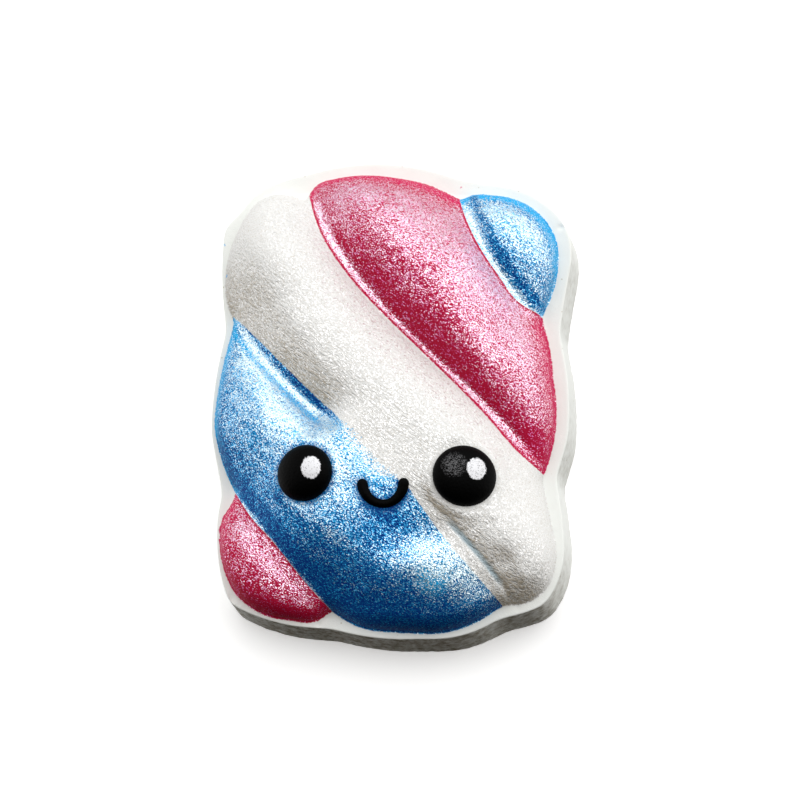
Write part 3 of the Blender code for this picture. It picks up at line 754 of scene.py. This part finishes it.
# Where the surface holds flakes.
from_foot = add_node(coat, "Math", (lean["Y"], FOOT_LEAN, stored["foot_mm"]), operation="MULTIPLY_ADD")
ragged_foot = add_node(coat, "Math", (rag, FOOT_RAG, from_foot), operation="MULTIPLY_ADD")
ragged_foot = add_node(coat, "Math", (luck["Z"], FOOT_LUCK, ragged_foot), operation="MULTIPLY_ADD")
ragged_gap = add_node(coat, "Math", (rag, GAP_RAG, stored["gap_mm"]), operation="MULTIPLY_ADD")
on_top = add_node(coat, "MapRange", (lean["Z"], *STEEP))
off_foot = add_node(coat, "MapRange", (ragged_foot, *FOOT_CLEAR))
off_face = add_node(coat, "MapRange", (ragged_gap, *GAP_CLEAR))
far_side = add_node(coat, "MapRange", (slope, *FAR_SLOPE))
near_side = add_node(coat, "Math", (far_side, -FAR_FEWER, 1.0), operation="MULTIPLY_ADD")
holds = add_node(coat, "Math", (on_top, off_foot), operation="MULTIPLY")
holds = add_node(coat, "Math", (holds, off_face), operation="MULTIPLY")
holds = add_node(coat, "Math", (holds, near_side), operation="MULTIPLY")
stray = add_node(coat, "MapRange", (luck["Y"], *STRAY))
stray = add_node(coat, "Math", (stray, on_top), operation="MULTIPLY")
stray_clear = add_node(coat, "MapRange", (stored["gap_mm"], *STRAY_CLEAR))
stray = add_node(coat, "Math", (stray, stray_clear), operation="MULTIPLY")

# Where the coat is thin, and where the pigment is lightened as painted light.
pigment_mix = add_node(coat, "MapRange", (slope, *LIT_SLOPE))
pigment_mix = add_node(coat, "Math", (pigment_mix, LIT_MOST), operation="MULTIPLY")
at_foot = add_node(coat, "MapRange", (from_foot, *FOOT_THIN))
not_below = add_node(coat, "MapRange", (lean["Y"], *FOOT_THIN_LEAN))
at_foot = add_node(coat, "Math", (at_foot, not_below), operation="MULTIPLY")
pigment_mix = add_node(coat, "Math", (pigment_mix, at_foot), operation="MAXIMUM")
on_grain = add_node(coat, "MapRange", (grain, *ON_GRAIN))
between_grains = add_node(coat, "MapRange", (grain, *BETWEEN_GRAINS))
speckle = add_node(coat, "Math", (on_grain, between_grains), operation="SUBTRACT")

# Each paint's pigment where it is thick and where it is thin at the foot and lit on slopes
# that face the light, as painted light (for the white, the second is its painted shade), its
# flakes where they are dim and where they face the light, as painted highlight, the shine
# from which flakes show and from which they pale, how much a flake's own tilt counts, and
# the share of places that lack a flake.
MICA_PAINTS = {
    "white": ("#DEDEDC", "#B7AC9A", "#E2E1E0", "#EEEDEC", 0.1, 0.1, 1.3, 0.82),
    "pink": ("#A80C30", "#C42656", "#CC6EAC", "#FBE4F4", 0.11, 0.09, 1.50, 0.22),
    "blue": ("#01307A", "#22A4DE", "#2AAAE4", "#E6F6FA", -0.19, -0.07, 1.25, 0.13),
}
# A flake's luck runs from minus a half to a half, so this turns a share into a threshold.
LUCK_EDGE = (-0.53, -0.47)


def mica_paint(name, pigment_mix, holds, normal):
    """Brushed mica paint: pigment in a thin binder, strewn with shiny flakes."""
    thick, mixed_in, dim, bright, shows_at, pale_at, tilted, lacking = MICA_PAINTS[name]
    pigment_mix = add_node(coat, "Math", (speckle, SPECKLE, pigment_mix), operation="MULTIPLY_ADD")
    pigment = add_node(coat, "Mix", {
        "Factor": pigment_mix, "A": linear(thick), "B": linear(mixed_in)}, data_type="RGBA")
    body = add_node(coat, "BsdfPrincipled", {
        "Base Color": pigment, "Roughness": 0.55, "Specular IOR Level": 0.08, "Normal": normal})
    # A flake shows, and pales, the more it faces the light: painted highlight.
    shine = add_node(coat, "Math", (turned, tilted, facing), operation="MULTIPLY_ADD")
    paleness = add_node(coat, "MapRange", (shine, pale_at, pale_at + FLAKE_FULL))
    mica = add_node(coat, "Mix", {
        "Factor": paleness, "A": linear(dim), "B": linear(bright)}, data_type="RGBA")
    flakes = add_node(coat, "BsdfPrincipled", {
        "Base Color": mica, "Metallic": 0.75, "Roughness": 0.32, "Normal": flake_normal})
    shown = add_node(coat, "MapRange", (shine, shows_at - FLAKE_EDGE, shows_at + FLAKE_EDGE))
    kept = add_node(coat, "MapRange", (luck["X"], lacking + LUCK_EDGE[0], lacking + LUCK_EDGE[1]))
    shown = add_node(coat, "Math", (shown, holds), operation="MULTIPLY")
    shown = add_node(coat, "Math", (shown, kept), operation="MULTIPLY")
    shown = add_node(coat, "Math", (shown, stray), operation="MAXIMUM")
    return add_node(coat, "MixShader", (shown, body, flakes))


# Bare cast: matte off-white powder with a pit or a speck of dust here and there. The wall
# is darkened in blotches to a grey brown, little on its sides and most on its lower side,
# which faces away from the light: painted shade.
PIT = 1.3
PIT_EDGE = (0.16, 0.06)
PIT_CHANCE = (0.84, 0.88)
WALL_SHADE_SIZE = 1.6
WALL_SHADE_SPOTS = (0.35, 0.65)
WALL_SHADE_STEEP = (0.5, 0.1)
WALL_SHADE_LOWER, WALL_SHADE_ALL = -0.95, 0.05

pits = add_node(coat, "TexVoronoi", {"Vector": place_mm, "Scale": 1.0 / PIT}).outputs
pit = add_node(coat, "MapRange", (pits["Distance"], *PIT_EDGE))
chance = add_node(coat, "SeparateXYZ", (pits["Color"],)).outputs["X"]
chance = add_node(coat, "MapRange", (chance, *PIT_CHANCE))
pit = add_node(coat, "Math", (pit, chance), operation="MULTIPLY")
wall_shade = add_node(coat, "TexNoise", {
    "Vector": place_mm, "Scale": 1.0 / WALL_SHADE_SIZE, "Detail": 4.0, "Roughness": 0.7})
wall_shade = add_node(coat, "MapRange", (wall_shade, *WALL_SHADE_SPOTS))
on_wall = add_node(coat, "MapRange", (lean["Z"], *WALL_SHADE_STEEP))
wall_shade = add_node(coat, "Math", (wall_shade, on_wall), operation="MULTIPLY")
lower_side_shade = add_node(coat, "Math", (lean["Y"], WALL_SHADE_LOWER, WALL_SHADE_ALL), operation="MULTIPLY_ADD")
wall_shade = add_node(coat, "Math", (wall_shade, lower_side_shade), operation="MULTIPLY")
powder = add_node(coat, "Mix", {
    "Factor": pit, "A": linear("#E7E9E5"), "B": linear("#C2BDAF")}, data_type="RGBA")
powder = add_node(coat, "Mix", {"Factor": wall_shade, "A": powder, "B": linear("#8F8775")}, data_type="RGBA")
bare = add_node(coat, "BsdfPrincipled", {
    "Base Color": powder, "Roughness": 0.85, "Specular IOR Level": 0.3, "Normal": grain_normal})

# White: its flakes hardly show. The brush left fine ripples, which show most on the slopes
# away from the light. There the white is darkened to a warm grey, most in the ripples, as
# painted shade. The thinned blue that ran down the third groove tints it.
RIPPLE = 0.40
RIPPLE_DRAWN = (0.40, 1.0, 1.0)
RIPPLE_DEPTH = 0.68
RIPPLE_SLOPE = (0.15, -0.35)
RIPPLE_AWAY, RIPPLE_ALL = 0.78, 0.22
WHITE_SHADE_SLOPE = (-0.22, -0.66)
WHITE_SHADE_RIPPLES = (0.35, 0.65)
WHITE_SHADE_ALL = 0.3
WASH_STREAKS, WASH_ALL = 0.9, 0.8

ripples = add_node(coat, "VectorMath", (stroke, RIPPLE_DRAWN), operation="MULTIPLY")
ripples = add_node(coat, "TexNoise", {
    "Vector": ripples, "Scale": 1.0 / RIPPLE, "Detail": 2.0, "Roughness": 0.6})
away = add_node(coat, "MapRange", (slope, *RIPPLE_SLOPE))
strength = add_node(coat, "Math", (away, RIPPLE_AWAY, RIPPLE_ALL), operation="MULTIPLY_ADD")
ripple_normal = add_node(coat, "Bump", {
    "Height": ripples, "Strength": strength, "Distance": RIPPLE_DEPTH * MM})
in_ripples = add_node(coat, "MapRange", (ripples, *WHITE_SHADE_RIPPLES))
in_ripples = add_node(coat, "Math", (in_ripples, WHITE_SHADE_ALL), operation="ADD")
white_shade = add_node(coat, "MapRange", (slope, *WHITE_SHADE_SLOPE))
white_shade = add_node(coat, "Math", (white_shade, in_ripples), operation="MULTIPLY")
white_paint = mica_paint("white", white_shade, holds, ripple_normal)
washed = add_node(coat, "BsdfPrincipled", {
    "Base Color": linear("#9DB4BE"), "Roughness": 0.6, "Normal": ripple_normal})
run_down = add_node(coat, "Math", (streak, WASH_STREAKS, WASH_ALL), operation="MULTIPLY_ADD")
run_down = add_node(coat, "Math", (stored["wash"], run_down), operation="MULTIPLY")
white_paint = add_node(coat, "MixShader", (run_down, white_paint, washed))

# Pink: its very edge has no flakes.
PINK_CLEAR = (0.35, 0.60)

off_edge = add_node(coat, "MapRange", (stored["pink_mm"], *PINK_CLEAR))
pink_holds = add_node(coat, "Math", (holds, off_edge), operation="MULTIPLY")
pink_paint = mica_paint("pink", pigment_mix, pink_holds, grain_normal)

# Blue: brushed out dry beside the smile, where only flecks of it stay on the white. It is
# kept dark in the flake-poor strips and patches and close round the face, as painted shade,
# and lightened at its edge where that faces the light and on the lit ledges, as painted light.
DRY_THIN = (5.0, 1.0)
DRY_LUCK = 3.2
DRY_STREAKS = 2.4
SHADED_STRIPS = (-1.4, -0.1)
BLUE_EDGE = (1.8, 0.6)
BLUE_EDGE_SLOPE = (-0.30, 0.4)
LIT_LEDGE = (0.3, 0.9)
LEDGE_INSIDE = (0.8, 1.8)
FACE_CLEAR = (0.0, 1.4)
FACE_SHADE = 0.4

unshaded = add_node(coat, "MapRange", (stored["flake_light_shade"], *SHADED_STRIPS))
blue_pigment_mix = add_node(coat, "Math", (pigment_mix, unshaded), operation="MULTIPLY")
dry_edge = add_node(coat, "MapRange", (stored["blue_mm"], *DRY_THIN))
dry_edge = add_node(coat, "Math", (stored["dry"], dry_edge), operation="MULTIPLY")
blue_edge = add_node(coat, "MapRange", (stored["blue_mm"], *BLUE_EDGE))
edge_slope = add_node(coat, "MapRange", (slope, *BLUE_EDGE_SLOPE))
blue_edge = add_node(coat, "Math", (blue_edge, edge_slope), operation="MULTIPLY")
on_ledge = add_node(coat, "MapRange", (stored["flake_light_shade"], *LIT_LEDGE))
inside_edge = add_node(coat, "MapRange", (stored["blue_mm"], *LEDGE_INSIDE))
on_ledge = add_node(coat, "Math", (on_ledge, inside_edge), operation="MULTIPLY")
for thin_place in (dry_edge, blue_edge, on_ledge, stored["film"]):
    blue_pigment_mix = add_node(coat, "Math", (blue_pigment_mix, thin_place), operation="MAXIMUM")
# Close round the eyes and the smile the blue stays dark: painted shade.
off_black = add_node(coat, "MapRange", (stored["gap_mm"], *FACE_CLEAR))
off_black = add_node(coat, "Math", (off_black, FACE_SHADE, 1.0 - FACE_SHADE), operation="MULTIPLY_ADD")
blue_pigment_mix = add_node(coat, "Math", (blue_pigment_mix, off_black), operation="MULTIPLY")
blue_paint = mica_paint("blue", blue_pigment_mix, holds, grain_normal)

flecks = add_node(coat, "Math", (luck["Z"], DRY_LUCK), operation="MULTIPLY")
flecks = add_node(coat, "Math", (streak, DRY_STREAKS, flecks), operation="MULTIPLY_ADD")
surface = bare
for layer, paint in (("white_mm", white_paint), ("pink_mm", pink_paint), ("blue_mm", blue_paint)):
    ragged = add_node(coat, "Math", (rag, EDGE_RAG, stored[layer]), operation="MULTIPLY_ADD")
    if layer == "blue_mm":
        ragged = add_node(coat, "Math", (flecks, stored["dry"], ragged), operation="MULTIPLY_ADD")
    covered = add_node(coat, "MapRange", (ragged, *EDGE_SHARP))
    surface = add_node(coat, "MixShader", (covered, surface, paint))
add_node(coat, "OutputMaterial", {"Surface": surface})
block_mesh.materials.append(painted_powder)

# ---------------------------------------------------------------------------------------
# The eyes: domes moulded in one with the block, painted satin black by hand, each with
# a dab of silver white paint on its upper right.
# ---------------------------------------------------------------------------------------
EYE_RISE = 3.4
EYE_SIDES = 96
EYE_AXIS = 0.01
# Each dab's centre and half sizes, seen from above, and how far down the dome it goes.
DABS = {"eye_left": (1.7, 0.3, 1.75, 2.1), "eye_right": (2.4, 0.8, 1.6, 2.0)}
DAB_DEPTH = 1.0
# A painted sheen on the right eye, drawn as silver specks: its centre and radius. The left
# eye has as good as none.
EYE_SHEEN = {"eye_left": (0.0, 0.0, 0.1), "eye_right": (-1.5, 1.4, 3.8)}
SHEEN_FULL = 0.3
SHEEN_SHOWS = (0.38, 0.80)
SHEEN_MOST = 0.14
# The paint's own grain, the dab's ragged edge, and its flecks, where some let black show.
BLACK_GRAIN = 0.5
BLACK_GRAIN_DEPTH = 0.08
DAB_RAG_SIZE = 0.5
DAB_RAG = 0.9
DAB_EDGE = (-0.08, 0.08)
FLECK = 0.16
FLECK_MISSED = (0.78, 0.98)
FLECK_THIN = 0.45


def surface_height(x, y):
    """Height of the block's surface above the sheet."""
    return SLAB_HEIGHT + float(relief_height(np.array([(x, y)]), foot)[0])


# Satin black acrylic over the grit: a deep black with a wide, dim sheen. The dabs are
# silver white, opaque and a little uneven, and the right eye's painted sheen is specks of the
# same silver.
black_acrylic = bpy.data.materials.new("satin_black_acrylic")
black_acrylic.use_nodes = True
satin = black_acrylic.node_tree
satin.nodes.clear()
eye_place = add_node(satin, "TexCoord").outputs["Object"]
eye_place = add_node(satin, "VectorMath", {0: eye_place, "Scale": 1.0 / MM}, operation="SCALE")
black_grain = add_node(satin, "TexNoise", {
    "Vector": eye_place, "Scale": 1.0 / BLACK_GRAIN, "Detail": 2.0})
black_normal = add_node(satin, "Bump", {"Height": black_grain, "Distance": BLACK_GRAIN_DEPTH * MM})
black = add_node(satin, "BsdfPrincipled", {
    "Base Color": linear("#010101"), "Roughness": 0.5, "Specular IOR Level": 0.035,
    "Normal": black_normal})
silver = add_node(satin, "BsdfPrincipled", {
    "Base Color": linear("#DCDCDF"), "Metallic": 0.2, "Roughness": 0.5, "Normal": black_normal})
inside_dab = add_node(satin, "Attribute", attribute_name="dab_mm").outputs["Fac"]
dab_rag = add_node(satin, "TexNoise", {
    "Vector": eye_place, "Scale": 1.0 / DAB_RAG_SIZE, "Detail": 3.0, "Roughness": 0.7})
dab_rag = add_node(satin, "Math", (dab_rag, NOISE_MEAN), operation="SUBTRACT")
dab_rag = add_node(satin, "Math", (dab_rag, DAB_RAG, inside_dab), operation="MULTIPLY_ADD")
dab = add_node(satin, "MapRange", (dab_rag, *DAB_EDGE))
fleck = add_node(satin, "TexVoronoi", {"Vector": eye_place, "Scale": 1.0 / FLECK})
fleck = add_node(satin, "SeparateXYZ", (fleck.outputs["Color"],)).outputs
missed = add_node(satin, "MapRange", (fleck["Y"], *FLECK_MISSED, 1.0, FLECK_THIN))
dab = add_node(satin, "Math", (dab, missed), operation="MULTIPLY")
painted_sheen = add_node(satin, "Attribute", attribute_name="painted_sheen").outputs["Fac"]
painted_sheen = add_node(satin, "Math", (fleck["X"], painted_sheen), operation="MULTIPLY")
painted_sheen = add_node(satin, "MapRange", (painted_sheen, *SHEEN_SHOWS, 0.0, SHEEN_MOST))
dab_and_sheen = add_node(satin, "Math", (dab, painted_sheen), operation="MAXIMUM")
eye_surface = add_node(satin, "MixShader", (dab_and_sheen, black, silver))
add_node(satin, "OutputMaterial", {"Surface": eye_surface})

for name, (x, y, radius) in EYES.items():
    middle, lean_x, lean_y = eye_seat(x, y, radius, foot)
    dome = bmesh.new()
    bmesh.ops.create_uvsphere(dome, u_segments=EYE_SIDES, v_segments=EYE_SIDES // 2, radius=1.0)
    for vert in dome.verts:
        right, up, out = vert.co
        reach = np.hypot(right, up)
        # The lower half goes straight down into the block.
        if out < 0.0 and reach > EYE_AXIS:
            right, up = right / reach, up / reach
        height = middle + radius * (lean_x * right + lean_y * up) + EYE_RISE * out
        vert.co = Vector((x + radius * right, y + radius * up, SLAB_HEIGHT + height)) * MM
    eye_mesh = bpy.data.meshes.new(name)
    dome.to_mesh(eye_mesh)
    dome.free()
    eye_mesh.shade_smooth()
    places = np.array([vert.co for vert in eye_mesh.vertices]) / MM
    dab_x, dab_y, half_x, half_y = DABS[name]
    away = np.hypot((places[:, 0] - x - dab_x) / half_x, (places[:, 1] - y - dab_y) / half_y)
    above = places[:, 2] > SLAB_HEIGHT + middle - DAB_DEPTH
    store(eye_mesh, "dab_mm", np.where(above, (1.0 - away) * half_x, FAR_OUTSIDE))
    sheen_x, sheen_y, reach = EYE_SHEEN[name]
    away = np.hypot(places[:, 0] - x - sheen_x, places[:, 1] - y - sheen_y)
    store(eye_mesh, "painted_sheen", 1.0 - smooth_step(SHEEN_FULL * reach, reach, away))
    eye_mesh.materials.append(black_acrylic)
    eye = bpy.data.objects.new(name, eye_mesh)
    bpy.context.scene.collection.objects.link(eye)
    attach(eye, "root")

# ---------------------------------------------------------------------------------------
# The smile: a bent bar with rounded ends, moulded in one with the block and painted with
# the same black.
# ---------------------------------------------------------------------------------------
SMILE_ENDS = radians(6.0)
SMILE_STEPS = 48
SMILE_SIDES = 20
CAP_FROM, CAP_TO = 0.2, 0.48 * pi
CAP_STEPS = 6

# Stations along the bar, each with its middle, its turn round the smile and its radius.
stations = []
for turn in np.linspace(pi + SMILE_ENDS, 2.0 * pi - SMILE_ENDS, SMILE_STEPS):
    x, y = smile_at(turn)
    size = SMILE_BAR[0] + (SMILE_BAR[1] - SMILE_BAR[0]) * sin(turn) ** 2
    stations.append((np.array((x, y, surface_height(x, y))), turn, size))
caps = []
for end, sign in ((0, -1.0), (-1, 1.0)):
    middle, turn, size = stations[end]
    outwards = sign * np.array((-sin(turn), cos(turn), 0.0))
    caps.append([
        (middle + outwards * size * sin(t), turn, size * cos(t))
        for t in np.linspace(CAP_FROM, CAP_TO, CAP_STEPS)])
stations = caps[0][::-1] + stations + caps[1]

bar = bmesh.new()
rings = []
for middle, turn, size in stations:
    out = np.array((cos(turn), sin(turn), 0.0))
    ring = []
    for t in np.linspace(0.0, 2.0 * pi, SMILE_SIDES, endpoint=False):
        point = middle + size * (cos(t) * out + sin(t) * np.array((0.0, 0.0, 1.0)))
        ring.append(bar.verts.new(point * MM))
    rings.append(ring)
for near, far in zip(rings, rings[1:]):
    for k in range(SMILE_SIDES):
        beside = (k + 1) % SMILE_SIDES
        bar.faces.new((near[k], near[beside], far[beside], far[k]))
bar.faces.new(rings[0])
bar.faces.new(rings[-1])
bmesh.ops.recalc_face_normals(bar, faces=bar.faces)
smile_mesh = bpy.data.meshes.new("smile")
bar.to_mesh(smile_mesh)
bar.free()
smile_mesh.shade_smooth()
store(smile_mesh, "dab_mm", np.full(len(smile_mesh.vertices), FAR_OUTSIDE))
smile_mesh.materials.append(black_acrylic)
smile = bpy.data.objects.new("smile", smile_mesh)
bpy.context.scene.collection.objects.link(smile)
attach(smile, "root")
